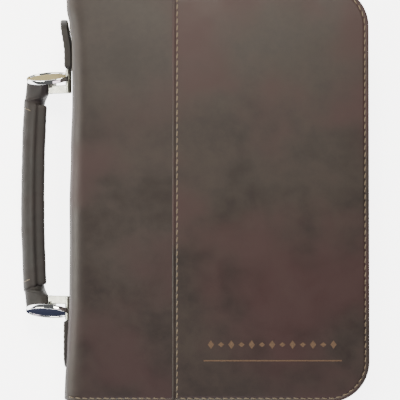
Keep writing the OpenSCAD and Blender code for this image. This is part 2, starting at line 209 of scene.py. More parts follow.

# %% [markdown]
# ## Metal, thread, cloth and paper
# The caps are zinc castings, polished, plated with chromium and left as mirrors: almost no
# roughness. The arms and the zip parts are plated without that last polish, so they blur what
# they mirror. Thread is waxed polyester in tan. Cloth gets its weave as a bump at the real pitch
# of its yarns, from 0.3 to 1.2 mm, and its colour is painted darker as shade in the weave's
# hollows and lighter as highlight on its crests. Bookboard and felt have no yarn: theirs is a
# pulp or fibre ripple, drawn coarser than it is so that it shows, with the same painted shade
# and highlight.

# %% Metal and thread
def plated(name, tint, rough, smear_mm):
    """Plated metal. Fingermarks, as soft spots of higher roughness, keep it from looking digital."""
    made, tree, surface, place = material(name, Metallic=1.0, Base_Color=srgb(tint))
    smears = add(tree, "ShaderNodeTexNoise", Vector=(place, "Object"), Scale=1 / (smear_mm * MM),
                 Detail=4.0)
    spread = add(tree, "ShaderNodeValToRGB", stops=[(0.35, grey(rough)), (0.75, grey(rough * 2.2))],
                 Fac=(smears, "Fac"))
    tree.links.new(spread.outputs["Color"], surface.inputs["Roughness"])
    return made


WAVES = 3.2  # bands that a wave texture draws in one unit at scale 1


def spun(name, tint, yarn_mm, rough=0.75, sheen=0.3, angle=0.0):
    """Thread or cloth whose fibres make fine ridges yarn_mm apart, in the object's plane, with painted
    shade in their hollows and a painted highlight on their crests.
    """
    made, tree, surface, place = material(name, Roughness=rough, IOR=1.5, Sheen_Weight=sheen)
    tilted = add(tree, "ShaderNodeMapping", Vector=(place, "Object"), Rotation=(angle, angle, angle))
    warp, weft = (add(tree, "ShaderNodeTexWave", {"bands_direction": way}, Vector=(tilted, "Vector"),
                      Scale=1 / (yarn_mm * MM) / WAVES, Distortion=0.8, Detail=1.0) for way in "XY")
    weave = add(tree, "ShaderNodeMix", {"data_type": "FLOAT"}, _0=0.5, _2=(warp, "Fac"), _3=(weft, "Fac"))
    bump = add(tree, "ShaderNodeBump", Strength=0.5, Distance=0.15 * MM, Height=(weave, "Result"))
    # Shaded and lit copies of the tint, following the weave's height: painted shade in the hollows, painted
    # highlight on the crests.
    weave_hollow_shade_and_crest_highlight = [tuple(c * k for c in srgb(tint)[:3]) + (1,) for k in (0.7, 1.15)]
    dyed = add(tree, "ShaderNodeValToRGB", stops=[(0.25, weave_hollow_shade_and_crest_highlight[0]), (0.75, weave_hollow_shade_and_crest_highlight[1])],
               Fac=(weave, "Result"))
    tree.links.new(dyed.outputs["Color"], surface.inputs["Base Color"])
    tree.links.new(bump.outputs["Normal"], surface.inputs["Normal"])
    return made


MIRROR_CHROME = plated("polished_chromium_plate", "d4d6d8", 0.025, 14)
CAST_CHROME = plated("plated_zinc_casting", "96978f", 0.2, 9)
NICKEL = plated("barrel_plated_nickel", "8f8a80", 0.26, 6)
DRAWN_STEEL = plated("drawn_steel_wire", "9a9a98", 0.30, 3)
TAN_THREAD = spun("waxed_polyester_thread", "6c604d", 0.35, rough=0.6, sheen=0.2, angle=0.6)
ZIP_TAPE = spun("woven_zip_tape", "2a2320", 0.6, angle=0.785)
LINING = spun("woven_lining", "3a322c", 0.5)
RIBBON = spun("satin_ribbon", "6d1f23", 0.3, rough=0.4, sheen=0.6)
BOARD = spun("grey_bookboard", "4b453e", 1.6, rough=0.9, sheen=0.0)
FELT = spun("padding_felt", "9a8d7c", 1.1, rough=0.95, sheen=0.5)
HEADBAND = spun("silk_headband", "b8862f", 1.2, rough=0.45, sheen=0.5)
print("metals made:", [paint.name for paint in (MIRROR_CHROME, CAST_CHROME, NICKEL, DRAWN_STEEL)])
FIBRES = (TAN_THREAD, ZIP_TAPE, LINING, RIBBON, BOARD, FELT, HEADBAND)
print("thread, cloths, board and felt made:", [paint.name for paint in FIBRES])

# %% Nylon, paper and the engraved mark
def moulded_nylon():
    """Zip coil: extruded nylon monofilament, dyed dark, smooth, with small bright glints."""
    made, tree, surface, place = material("nylon_monofilament", IOR=1.53, Roughness=0.32)
    tone = add(tree, "ShaderNodeTexNoise", Vector=(place, "Object"), Scale=1 / (8 * MM))
    dyed = add(tree, "ShaderNodeValToRGB", stops=[(0.3, srgb("2b2421")), (0.7, srgb("39302b"))],
               Fac=(tone, "Fac"))
    tree.links.new(dyed.outputs["Color"], surface.inputs["Base Color"])
    return made


def bible_paper(name, lined):
    """Thin opaque paper. On the block's cut edges the leaves show as lines across Z, painted as shade
    between them.
    """
    made, tree, surface, place = material(name, IOR=1.45, Roughness=0.85, Subsurface_Weight=0.05)
    squeezed = add(tree, "ShaderNodeMapping", Vector=(place, "Object"),
                   Scale=(0.02, 0.02, 1) if lined else (1, 1, 1))
    # A real leaf is 0.04 mm thick. The lines of painted shade are drawn at 0.35 mm, as gatherings of
    # leaves, to show.
    leaf_mm = 0.35 if lined else 18.0
    leaves = add(tree, "ShaderNodeTexNoise", Vector=(squeezed, "Vector"), Scale=1 / (leaf_mm * MM),
                 Detail=4.0)
    # The darker stop: on the cut edges, painted shade in the gaps between gatherings of leaves; on the flat
    # paper, its own uneven tone.
    leaf_gap_shade_and_paper_tone = srgb("c9bb9d" if lined else "e3d9c3")
    tone = add(tree, "ShaderNodeValToRGB", stops=[(0.3, leaf_gap_shade_and_paper_tone), (0.62, srgb("ede4cf"))],
               Fac=(leaves, "Fac"))
    bump = add(tree, "ShaderNodeBump", Strength=0.4 if lined else 0.08, Distance=0.2 * MM,
               Height=(leaves, "Fac"))
    tree.links.new(tone.outputs["Color"], surface.inputs["Base Color"])
    tree.links.new(bump.outputs["Normal"], surface.inputs["Normal"])
    return made


def engraved_leather():
    """Leather that a laser has scorched: the coat is gone, and the tan nap under it shows, matt."""
    made, tree, surface, place = material("laser_engraved_leather", IOR=1.45, Roughness=0.9)
    nap = add(tree, "ShaderNodeTexNoise", Vector=(place, "Object"), Scale=1 / (0.8 * MM), Detail=5.0)
    tone = add(tree, "ShaderNodeValToRGB", stops=[(0.3, srgb("4f3e31")), (0.7, srgb("64513f"))],
               Fac=(nap, "Fac"))
    tree.links.new(tone.outputs["Color"], surface.inputs["Base Color"])
    return made


NYLON = moulded_nylon()
PAGE_EDGES = bible_paper("cut_page_edges", True)
PAPER = bible_paper("bible_paper", False)
ENGRAVED = engraved_leather()
print("nylon, papers and mark made:", [paint.name for paint in (NYLON, PAGE_EDGES, PAPER, ENGRAVED)])

# %% [markdown]
# ## Helpers for shapes
# Almost every piece is a loft: closed loops of points joined one to the next. Points are in
# millimetres, because the maker's sizes are, and one line turns them into metres.

# %% Loft
def loft(name, loops, paint, looped=False, sharp=38, place=None):
    """Joins loops of points, in mm, into one closed skin. looped joins the last loop to the first."""
    count = len(loops[0])
    points = [Vector(p) for loop in loops for p in loop]
    if place is not None:
        points = [place @ p for p in points]
    faces = []
    spans = len(loops) if looped else len(loops) - 1
    for i in range(spans):
        a, b = i * count, (i + 1) % len(loops) * count
        for k in range(count):
            n = (k + 1) % count
            faces.append((a + k, a + n, b + n, b + k))
    if not looped:
        faces.append(tuple(range(count)))
        faces.append(tuple(range(len(points) - count, len(points))))
    return mesh_piece(name, points, faces, paint, sharp)


def mesh_piece(name, points, faces, paint, sharp=38):
    """A mesh object from points in mm, with its faces turned outwards and its edges smoothed."""
    mesh = bpy.data.meshes.new(name)
    mesh.from_pydata([tuple(c * MM for c in p) for p in points], [], faces)
    made = bpy.data.objects.new(name, mesh)
    bpy.context.scene.collection.objects.link(made)
    tidy_mesh(mesh, sharp)
    mesh.materials.append(paint)
    return made


def tidy_mesh(mesh, sharp):
    """Faces outwards, smooth shading, and a crisp line where the skin turns by more than sharp."""
    work = bmesh.new()
    work.from_mesh(mesh)
    bmesh.ops.recalc_face_normals(work, faces=work.faces)
    work.to_mesh(mesh)
    work.free()
    mesh.shade_smooth()
    mesh.set_sharp_from_angle(angle=math.radians(sharp))


def fit(made, body, slot_name, *nodes):
    """The piece rides on a body and stands for these CAD nodes, which it hides. slot_name is not used."""
    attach(made, body)
    if nodes:
        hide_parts(*nodes)
    return made


def mm_box(node):
    """The low and high corners of a CAD node, in mm."""
    return tuple(Vector(corner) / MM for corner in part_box(node))


def ease(t):
    """A smooth step from 0 to 1."""
    t = min(max(t, 0.0), 1.0)
    return t * t * (3 - 2 * t)


print("front cover's corners, in mm:", [tuple(round(c, 1) for c in p) for p in mm_box("front_panel")])

# %% Sizes that the pieces share
BODY = {1: "front", -1: "back"}  # side 1 is the front cover, side -1 the back one
WORD = {1: "upper", -1: "lower"}  # and along the spine, end 1 is the upper one
PANEL_LOW, PANEL_HIGH = mm_box("front_panel")
BACK_LOW, BACK_HIGH = mm_box("back_panel")
WRAP_LOW, WRAP_HIGH = mm_box("front_wrap")
THICK = PANEL_HIGH.z
MID_Z = THICK / 2
HALF_H = PANEL_HIGH.y
FORE_X = PANEL_HIGH.x
SPINE_X = WRAP_LOW.x
SEAM_X = PANEL_LOW.x
CORNER_R = 25.0
STITCH_IN = 2.6
STITCH_PITCH = 4.3
GROOVE, SWELL, UNEVEN = 0.35, 0.25, 0.2  # depth of a stitch groove, of the puff and of the waviness
print("case", round(FORE_X - SPINE_X, 1), "x", 2 * HALF_H, "x", round(THICK, 1), "mm")
print("seam at", round(SEAM_X, 1))

# %% [markdown]
# ## Outlines, pads and runs along the edge
# A case panel is leather glued over thin foam and a board, then turned in at its edges. So its
# edge is a small roll, its face swells a little inside the stitch line, and the thread pulls a
# shallow groove. A pad here is a stack of loops that follow that profile in from the edge.

# %% Outline of a rectangle with rounded corners
def outline(low, high, radii, inset=0.0, step=2.5):
    """Loop of (x, y), anticlockwise from the low corner, moved in by inset. One radius a corner."""
    x0, x1, y0, y1 = low[0], high[0], low[1], high[1]
    ends = [(x0, y0, 1, 1), (x1, y0, -1, 1), (x1, y1, -1, -1), (x0, y1, 1, -1)]
    arcs = []
    for quarter, ((x, y, sx, sy), radius) in enumerate(zip(ends, radii)):
        r = max(radius - inset, 0.3)
        cx = x + sx * (inset + r)
        cy = y + sy * (inset + r)
        turns = max(3, round(radius / 1.6))
        angles = [math.radians(180 + 90 * quarter + 90 * k / turns) for k in range(turns + 1)]
        arcs.append([(cx + r * math.cos(a), cy + r * math.sin(a)) for a in angles])
    loop = []
    for i, arc in enumerate(arcs):
        loop += arc
        after = arcs[(i + 1) % 4][0]
        length = (x1 - x0) if i % 2 == 0 else (y1 - y0)
        count = max(2, round(length / step))
        for k in range(1, count):
            t = k / count
            loop.append((arc[-1][0] * (1 - t) + after[0] * t, arc[-1][1] * (1 - t) + after[1] * t))
    return loop


def wave(x, y, seed, size=30.0):
    """Slow unevenness of hand-worked leather, from -1 to 1."""
    broad = noise.noise(Vector((x / size, y / size, seed)))
    fine = noise.noise(Vector((x / size * 4, y / size * 4, seed + 9)))
    return 0.8 * broad + 0.2 * fine


print("points round the front cover:", len(outline(PANEL_LOW, PANEL_HIGH, (CORNER_R,) * 4)))


# %% A padded panel
def pad(name, low, high, radii, inner_z, outer_z, paint, edge=1.4, groove=GROOVE, swell=SWELL,
        uneven=UNEVEN, seed=1.0, groove_in=STITCH_IN, place=None):
    """A panel whose seen face is at outer_z, with a rolled edge and a groove for its stitches."""
    out = 1 if outer_z > inner_z else -1
    thick = abs(outer_z - inner_z)
    edge = min(edge, thick * 0.9)
    width, height = high[0] - low[0], high[1] - low[1]
    small = min(width, height)

    def face_z(x, y, inset):
        return outer_z + out * pad_rise(x, y, inset, groove, swell, uneven, seed, groove_in)

    # The underside and the rolled edge: pairs of (inset, z).
    rim = min(0.35, thick * 0.3)
    rolled = [(min(4.0, small * 0.3), inner_z), (rim, inner_z), (0, inner_z + out * rim)]
    for k in range(7):
        a = math.radians(90 * k / 6)
        rolled.append((edge * (1 - math.cos(a)), outer_z - out * (edge * (1 - math.sin(a)) + swell)))
    loops = [[(x, y, z) for x, y in outline(low, high, radii, inset)] for inset, z in rolled]
    # The groove for the stitches.
    top_in = min(6.0, small * 0.35)
    steps = [s for s in (1.7, 2.1, 2.35, 2.6, 2.85, 3.1, 3.6, 4.4) if edge < s < top_in] + [top_in]
    for inset in steps:
        loops.append([(x, y, face_z(x, y, inset)) for x, y in outline(low, high, radii, inset)])
    # The open face: the last loop shrinks to the panel's middle line.
    top_in_loop = outline(low, high, radii, top_in)
    reach = small / 2
    middle_x, middle_y = (low[0] + high[0]) / 2, (low[1] + high[1]) / 2
    spare_x, spare_y = max(width / 2 - reach, 0), max(height / 2 - reach, 0)
    rows = max(3, round((reach - top_in) / 4.0))
    for k in range(1, rows + 1):
        t = 0.985 * k / rows
        loop = []
        for x, y in top_in_loop:
            goal_x = middle_x + min(max(x - middle_x, -spare_x), spare_x)
            goal_y = middle_y + min(max(y - middle_y, -spare_y), spare_y)
            px, py = x * (1 - t) + goal_x * t, y * (1 - t) + goal_y * t
            loop.append((px, py, face_z(px, py, top_in + t * (reach - top_in))))
        loops.append(loop)
    return loft(name, loops, paint, place=place)


def pad_rise(x, y, inset, groove, swell, uneven, seed, groove_in=STITCH_IN):
    """Height of a pad's face against its outer level: never above it, so that it rests on the table."""
    pull = groove * math.exp(-((inset - groove_in) / 0.55) ** 2)
    puff = swell * math.exp(-max(inset - groove_in, 0) / 5.0)
    calm = ease((inset - 1.5) / 8)
    return -pull - puff + uneven * calm * (wave(x, y, seed) - 1) * 0.5


print("face in the stitch groove:", round(pad_rise(0, 0, STITCH_IN, GROOVE, SWELL, UNEVEN, 1.0), 2), "mm")


# %% The line of the case's edge, from the spine round the fore-edge and back
def edge_run(start_x, step=2.5):
    """Points (x, y, nx, ny) along the outline of the case, with the outward direction at each."""
    straight_x = FORE_X - CORNER_R
    straight_y = HALF_H - CORNER_R
    run = []
    count = round((straight_x - start_x) / step)
    run += [(start_x + (straight_x - start_x) * k / count, -HALF_H, 0, -1) for k in range(count)]
    turns = 24
    for quarter, cy in ((0, -straight_y), (1, straight_y)):
        for k in range(turns + 1):
            a = math.radians(270 + 90 * quarter + 90 * k / turns)
            run.append((straight_x + CORNER_R * math.cos(a), cy + CORNER_R * math.sin(a),
                        math.cos(a), math.sin(a)))
        if quarter == 0:
            rise = round(2 * straight_y / step)
            run += [(FORE_X, -straight_y + 2 * straight_y * k / rise, 1, 0) for k in range(1, rise)]
    run += [(straight_x - (straight_x - start_x) * k / count, HALF_H, 0, 1) for k in range(1, count + 1)]
    return run


def edge_sweep(name, section, start_x, paint, uneven=0.0, seed=0.0):
    """Sweeps a section along the case's edge. Its points are (inset, z) in mm."""
    loops = []
    for x, y, nx, ny in edge_run(start_x):
        sway = uneven * wave(x, y, seed, 22.0)
        loops.append([(x - nx * (d + sway), y - ny * (d + sway), z) for d, z in section])
    return loft(name, loops, paint)


def evenly(path, pitch):
    """Points at equal distances along a path of Vectors, with the direction at each."""
    lengths = [(b - a).length for a, b in zip(path, path[1:])]
    total = sum(lengths)
    count = max(1, int(total / pitch))
    spare = (total - count * pitch) / 2
    found = []
    i, gone = 0, 0.0
    for k in range(count):
        at = spare + (k + 0.5) * pitch
        while i < len(lengths) - 1 and gone + lengths[i] < at:
            gone += lengths[i]
            i += 1
        t = (at - gone) / max(lengths[i], 1e-6)
        found.append((path[i].lerp(path[i + 1], t), (path[i + 1] - path[i]).normalized()))
    return found


print("points along the case's edge:", len(edge_run(SEAM_X)))

# %% [markdown]
# ## Stitches
# A lockstitch shows as a row of short thread bridges, each diving into its own hole at both ends.
# A bump could only shade them. So every bridge is a small arched capsule, and the row is one mesh,
# as one thread makes the row. Its pitch of 4.3 mm is that of a heavy leather machine.

# %% A row of stitches
def stitch_row(name, path, up, pitch=STITCH_PITCH, length=3.1, wide=0.78, high=0.38):
    """Stitches along a path of Vectors. up gives the leather's outward direction at a point."""
    points, faces = [], []
    sides, stations = 6, 6
    slant = 0.06 * length
    for middle, along in evenly(path, pitch):
        out = up(middle)
        across = along.cross(out).normalized()
        first = len(points)
        for s in range(stations + 1):
            t = s / stations * 2 - 1
            arch = high * (1 - t * t) - 0.5 * high * t ** 6
            width = wide / 2 * (1 - 0.45 * t ** 4)
            centre = middle + along * (t * length / 2) + out * arch * 0.55 + across * (t * slant)
            for k in range(sides):
                a = 2 * math.pi * k / sides
                lift = 0.45 * high * math.sin(a)
                points.append(centre + across * (width * math.cos(a)) + out * lift)
        for s in range(stations):
            for k in range(sides):
                n = (k + 1) % sides
                a = first + s * sides
                faces.append((a + k, a + n, a + sides + n, a + sides + k))
        faces.append(tuple(first + k for k in range(sides)))
        faces.append(tuple(first + stations * sides + k for k in range(sides)))
    return mesh_piece(name, points, faces, TAN_THREAD, 60)


def facing(direction):
    """An up function that always gives the same direction."""
    fixed = Vector(direction)
    return lambda point: fixed


print("stitches in 100 mm:", len(evenly([Vector(), Vector((100, 0, 0))], STITCH_PITCH)))

# %% [markdown]
# ## The main panels of the two covers
# Each cover is one main panel, lapped over a second piece that wraps the spine. The lapped edge
# is turned in, so it is a fold and not a cut, and two more millimetres of leather lie under it.
# Corners at the fore-edge have a 25 mm radius, so that the zip can run round them.

# %% Main panels
PANEL_RADII = (0.6, CORNER_R, CORNER_R, 0.6)
FRONT_SEED, BACK_SEED = 2.3, 5.1


def main_panel(name, node, inner_z, outer_z, seed):
    """One cover's main panel."""
    low, high = mm_box(node)
    made = pad(name, low, high, PANEL_RADII, inner_z, outer_z, COVER_LEATHER, edge=1.3, seed=seed)
    return fit(made, node.split("_")[0], "cover_leather", node)


front_cover = main_panel("front_main_panel", "front_panel", PANEL_LOW.z, PANEL_HIGH.z, FRONT_SEED)
main_panel("back_main_panel", "back_panel", BACK_HIGH.z, BACK_LOW.z, BACK_SEED)
print("front panel points", len(front_cover.data.vertices))


# %% Stitches round a main panel and down its folded edge
def panel_stitches(body, level, out, seed):
    """The row follows three edges; a second row holds the folded edge down on the wrap."""
    up = facing((0, 0, out))
    loop = outline((SEAM_X, -HALF_H), (FORE_X, HALF_H), PANEL_RADII, STITCH_IN, step=1.5)
    points = [Vector((x, y, 0)) for x, y in loop if x > SEAM_X + 4.2 or abs(y) > HALF_H - 2.7]
    corner = Vector((SEAM_X, -HALF_H, 0))
    start = min(range(len(points)), key=lambda i: (points[i] - corner).length)
    points = points[start:] + points[:start]
    points = [p for p in points if p.x > SEAM_X + 1.2]
    for p in points:
        p.z = level + out * (pad_rise(p.x, p.y, STITCH_IN, GROOVE, SWELL, UNEVEN, seed) + 0.1)
    fit(stitch_row(body + "_edge_stitches", points, up), body, "cover_leather")
    seam = [Vector((SEAM_X + 3.4, y, 0)) for y in range(-int(HALF_H) + 1, int(HALF_H), 4)]
    for p in seam:
        p.z = level + out * (pad_rise(p.x, p.y, 3.0, GROOVE, SWELL, UNEVEN, seed) + 0.12)
    fit(stitch_row(body + "_seam_stitches", seam, up), body, "cover_leather")


panel_stitches("front", PANEL_HIGH.z, 1, FRONT_SEED)
panel_stitches("back", BACK_LOW.z, -1, BACK_SEED)

# %% [markdown]
# ## The wrap round the spine
# One strip of leather runs from the front seam, over the spine and to the back seam. It has no
# board where it folds, so it stays round there, and years of opening pull its middle in and let
# its ends flare. It bends when the case opens. Two skins make it, one for each fold, and they
# meet unseen in the middle of the spine, where neither of them moves.

# %% Wrap skins
WRAP_T = 1.9
SPINE_END_IN = 1.2  # the spine is this much shorter than the covers at each end
ROLL_WIDE, ROLL_HIGH, ROLL_FULL = 12.0, 8.0, 2.4
WRAP_STEP = THICK - WRAP_HIGH.z


def waist(y):
    """How far the roll is pulled in at a height along the spine, in mm. The ends flare out."""
    marks = [(-127, -3.1), (-118, -3.0), (-95, -1.7), (-65, -0.4), (-34, -0.25), (-4, -0.35),
             (26, 0.4), (57, 1.2), (93, 0.9), (103, -0.6), (114, -2.4), (127, -2.7)]
    for (y0, v0), (y1, v1) in zip(marks, marks[1:]):
        if y <= y1:
            return v0 + (v1 - v0) * ease((y - y0) / (y1 - y0))
    return marks[-1][1]


def wrap_line():
    """Points (x, z, nx, nz, share) of the outer face, from the seam to the middle of the spine.

    The roll is a superellipse: fuller than a circle. share is 0 on the cover and 1 on the spine."""
    top = THICK - WRAP_STEP
    down = top - ROLL_HIGH
    flat = SPINE_X + ROLL_WIDE
    count = 22
    line = [(SEAM_X + 0.3 + (flat - SEAM_X - 0.3) * k / count, top, 0, 1, 0.0) for k in range(count)]
    power = 2 / ROLL_FULL
    steep = ROLL_FULL - 1
    for k in range(17):
        a = math.radians(90 * k / 16)
        across, rise = math.sin(a) ** power, math.cos(a) ** power
        out = Vector((-(across ** steep) / ROLL_WIDE, rise ** steep / ROLL_HIGH)).normalized()
        line.append((flat - ROLL_WIDE * across, down + ROLL_HIGH * rise, out.x, out.y, ease(k / 16)))
    line += [(SPINE_X, down + (MID_Z - down) * k / 8, -1, 0, 1.0) for k in range(1, 9)]
    return line


def on_wrap(x, y, z, nx, nz, deep, side):
    """A point of the wrap, deep under its outer line, with the roll pulled in by its waist.

    The back roll lies on the table, so it keeps its shape better than the front one."""
    share = ease((z - MID_Z) / 14) * ease((SPINE_X + 16 - x) / 16)
    pulled = waist(y) if side > 0 else min(waist(y), 0.4) * 0.4
    pz = z - nz * deep
    return Vector((x - nx * deep + pulled * share, y, pz if side > 0 else THICK - pz))


def wrap_skin(name, side, seed):
    """The skin of one fold. side is 1 for the front and -1 for the back."""
    line = wrap_line()
    rows = 96
    # Rows near an end: (distance from it, how far the turned edge is rounded off there).
    ends = [(0.0, 0.85), (0.12, 0.45), (0.4, 0.15)] + [(d, 0.0) for d in (0.9, 1.6, 2.1, 2.6, 3.1, 3.8)]
    marks = [(-1, d, o) for d, o in ends]
    marks += [(t, None, 0.0) for t in (-1 + 2 * k / rows for k in range(rows + 1)) if abs(t) < 0.955]
    marks += [(1, d, o) for d, o in reversed(ends)]
    loops = []
    for t, from_end, shrink in marks:
        outer, inner = [], []
        for x, z, nx, nz, share in line:
            half = HALF_H - SPINE_END_IN * share
            y = t * half if from_end is None else t * (half - from_end)
            inset = half - abs(y)
            pull = 0.32 * math.exp(-((inset - STITCH_IN) / 0.55) ** 2) * (1 - 0.7 * share)
            calm = ease((inset - 1.5) / 8) * (1 - ease((MID_Z + 8 - z) / 8))
            depth = shrink + pull - 0.16 * (wave(x, y, seed) - 1) * calm
            for part, deep in ((outer, depth), (inner, WRAP_T - shrink)):
                part.append(on_wrap(x, y, z, nx, nz, deep, side))
        loops.append(outer + inner[::-1])
    return loft(name, loops, WRAP_LEATHER)


front_skin = wrap_skin("front_wrap_skin", 1, 7.7)
back_skin = wrap_skin("back_wrap_skin", -1, 8.9)


def bend_with_fold(made):
    """Bakes a piece on the wrap into plain mesh where it stands; nothing here bends it."""
    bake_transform(made)
    return made


bend_with_fold(front_skin)
bend_with_fold(back_skin)
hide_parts("front_wrap", "spine_wrap")
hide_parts("back_wrap")
print("wrap skins made; points in one", len(front_skin.data.vertices))


# %% Stitches along the wrap's ends
def wrap_end_stitches(side):
    """Rows across both ends of a wrap skin, as far as the roll. Gives the stitches in one row."""
    for end in (1, -1):
        path, ups = [], []
        for x, z, nx, nz, share in wrap_line():
            if x > SEAM_X - 0.4 or share > 0.75:
                continue
            y = end * (HALF_H - SPINE_END_IN * share - STITCH_IN)
            path.append(on_wrap(x, y, z, nx, nz, 0.25, side))
            ups.append(Vector((nx, 0, nz * side)))

        def up(point, path=path, ups=ups):
            near = min(range(len(path)), key=lambda i: (path[i] - point).length)
            return ups[near]

        name = BODY[side] + "_wrap_" + WORD[end] + "_stitches"
        bend_with_fold(stitch_row(name, path, up))
    return len(evenly(path, STITCH_PITCH))


for side in (1, -1):
    print(BODY[side], "wrap: stitches across each end", wrap_end_stitches(side))

# %% [markdown]
# ## The engraved ornament
# A laser draws the mark on the lower part of the front: a row of small lozenges and a thin rule
# under it. It burns off the coat to the tan nap, so its edges are crisp and its floor is matt.

# %% Ornament
def burnt_shape(points, faces, corners):
    """Adds one closed shape of the mark, following the face of the panel."""
    first = len(points)
    for x, y in corners:
        inset = min(FORE_X - x, HALF_H - abs(y))
        level = PANEL_HIGH.z + pad_rise(x, y, inset, GROOVE, SWELL, UNEVEN, FRONT_SEED)
        points += [(x, y, level + 0.05), (x, y, level - 0.25)]
    n = len(corners)
    faces.append(tuple(first + 2 * k for k in range(n)))
    faces.append(tuple(first + 2 * k + 1 for k in reversed(range(n))))
    for k in range(n):
        m = (k + 1) % n
        faces.append((first + 2 * k, first + 2 * k + 1, first + 2 * m + 1, first + 2 * m))


def ornament():
    """Lozenges 6 mm apart over a thin rule, on the front panel."""
    points, faces = [], []
    row_y, wide = -91.8, 1.9
    for k in range(13):
        x = -5.0 + 6.2 * k
        tall = 2.6 if k % 2 == 0 else 1.5
        burnt_shape(points, faces, [(x - wide, row_y), (x, row_y - tall), (x + wide, row_y),
                                    (x, row_y + tall)])
    rule_low, rule_high, piece = -101.9, -101.1, 2.0
    for k in range(42):
        x = -9.5 + piece * k
        burnt_shape(points, faces, [(x, rule_low), (x + piece, rule_low), (x + piece, rule_high),
                                    (x, rule_high)])
    return mesh_piece("engraved_ornament", points, faces, ENGRAVED, 20)


fit(ornament(), "front", "cover_leather")

# %% [markdown]
# ## The zip round three sides
# Two leather walls stand in from the covers' edges, folded over at the slot. A woven tape is sewn
# inside each, and a nylon coil is sewn along each tape's edge. A coil is one thread of nylon
# wound like a spring, so it is built as a helix, with the 1.3 mm pitch of a size 5 zip.

# %% Walls, tapes and coils
WALL_LOW, WALL_HIGH = mm_box("back_gusset")
EDGE_START = WALL_LOW.x
GUSSET_IN = HALF_H - WALL_HIGH.y
COIL_LOW, COIL_HIGH = mm_box("back_zip_coil")
COIL_PITCH = 1.3
TAPE_LOW, TAPE_HIGH = mm_box("back_zip_tape")


def turned(section, side):
    """A section for the back cover, or the same turned over for the front."""
    return section if side < 0 else [(d, THICK - z) for d, z in section]


def gusset(side):
    """The wall of one cover, with its folded upper edge and its stitches."""
    g, top, foot = GUSSET_IN, WALL_HIGH.z, WALL_LOW.z
    section = [(g + 1.6, foot), (g + 1.6, top - 1.0), (g + 1.4, top - 0.3), (g + 0.8, top),
               (g + 0.25, top - 0.25), (g - 0.05, top - 1.0), (g + 0.12, top - 2.5), (g - 0.1, top - 5),
               (g - 0.3, top - 9), (g - 0.2, foot + 4), (g + 0.1, foot + 1.2), (g, foot)]
    body = BODY[side]
    wall = edge_sweep(body + "_gusset_wall", turned(section, side), EDGE_START, WRAP_LEATHER,
                      0.12, 3.1 + side)
    fit(wall, body, "wrap_leather", body + "_gusset")
    z = top - 2.4 if side < 0 else THICK - top + 2.4
    path = [Vector((x - nx * (g + 0.02), y - ny * (g + 0.02), z))
            for x, y, nx, ny in edge_run(EDGE_START + 2)]

    def up(point):
        if point.x < FORE_X - CORNER_R:
            return Vector((0, math.copysign(1, point.y), 0))
        corner_y = HALF_H - CORNER_R
        centre = Vector((FORE_X - CORNER_R, min(max(point.y, -corner_y), corner_y), point.z))
        return (point - centre).normalized()

    fit(stitch_row(body + "_gusset_stitches", path, up, wide=0.7, high=0.3), body, "wrap_leather")


def tape(side):
    """One half of the woven tape, with its thicker cord along the coil."""
    low, high, d = TAPE_LOW.z, TAPE_HIGH.z, HALF_H - TAPE_HIGH.y
    section = [(d + 0.1, low), (d + 0.7, low), (d + 0.75, high - 2.2), (d + 0.8, high - 0.4),
               (d + 0.55, high), (d + 0.1, high), (d + 0.02, high - 0.4), (d + 0.08, high - 2.2)]
    body = BODY[side]
    fit(edge_sweep(body + "_woven_tape", turned(section, side), EDGE_START, ZIP_TAPE), body, "zip_tape",
        body + "_zip_tape")


def wire(name, line, radius, paint, sides):
    """A round wire along a line of Vectors, closed at both ends."""
    loops = []
    side = Vector((0, 0, 1))
    for i, p in enumerate(line):
        along = (line[min(i + 1, len(line) - 1)] - line[max(i - 1, 0)]).normalized()
        across = (side - along * side.dot(along)).normalized()
        side = across
        third = along.cross(across)
        loops.append([p + (across * math.cos(a) + third * math.sin(a)) * radius
                      for a in (2 * math.pi * k / sides for k in range(sides))])
    return loft(name, loops, paint, sharp=60)


def coil(side):
    """A helix of nylon thread along the edge. Its middle stays clear of the slider's post."""
    wire_r, spare = 0.3, 0.32
    centre_in = HALF_H - (COIL_HIGH.y + TAPE_HIGH.y) / 2
    half_in = (COIL_HIGH.y - TAPE_HIGH.y) / 2 - spare
    half_z = (COIL_HIGH.z - COIL_LOW.z) / 2 - spare
    mid = (COIL_HIGH.z + COIL_LOW.z) / 2
    run = [(Vector((x, y, 0)), Vector((nx, ny, 0))) for x, y, nx, ny in edge_run(COIL_LOW.x, 1.3)]
    track = []
    for (a, na), (b, nb) in zip(run, run[1:]):
        steps = max(1, round((b - a).length / 0.16))
        for k in range(steps):
            track.append((a.lerp(b, k / steps), na.lerp(nb, k / steps).normalized()))
    gone = 0.0
    line = []
    for i, (p, n) in enumerate(track):
        if i:
            gone += (p - track[i - 1][0]).length
        a = 2 * math.pi * gone / COIL_PITCH
        d = centre_in + half_in * math.cos(a)
        z = mid + half_z * math.sin(a)
        line.append(p - n * d + Vector((0, 0, z if side < 0 else THICK - z)))
    body = BODY[side]
    made = wire(body + "_nylon_coil", line, wire_r, NYLON, sides=5)
    return fit(made, body, "zip_coil", body + "_zip_coil")


for side in (1, -1):
    for part in (gusset, tape, coil):
        part(side)

# %% [markdown]
# ## The tabs on the spine
# Two thick leather strips are sewn flat on the spine, and each holds the end of a steel pin. Their
# outer ends are half round. Their edges are dyed and burnished, so they are rounder and darker.

# %% Tabs
TAB_LOW, TAB_HIGH = mm_box("upper_tab")
ON_SPINE = Matrix(((0, 0, 1, 0), (1, 0, 0, 0), (0, 1, 0, 0), (0, 0, 0, 1)))  # flat (y, z) stood up


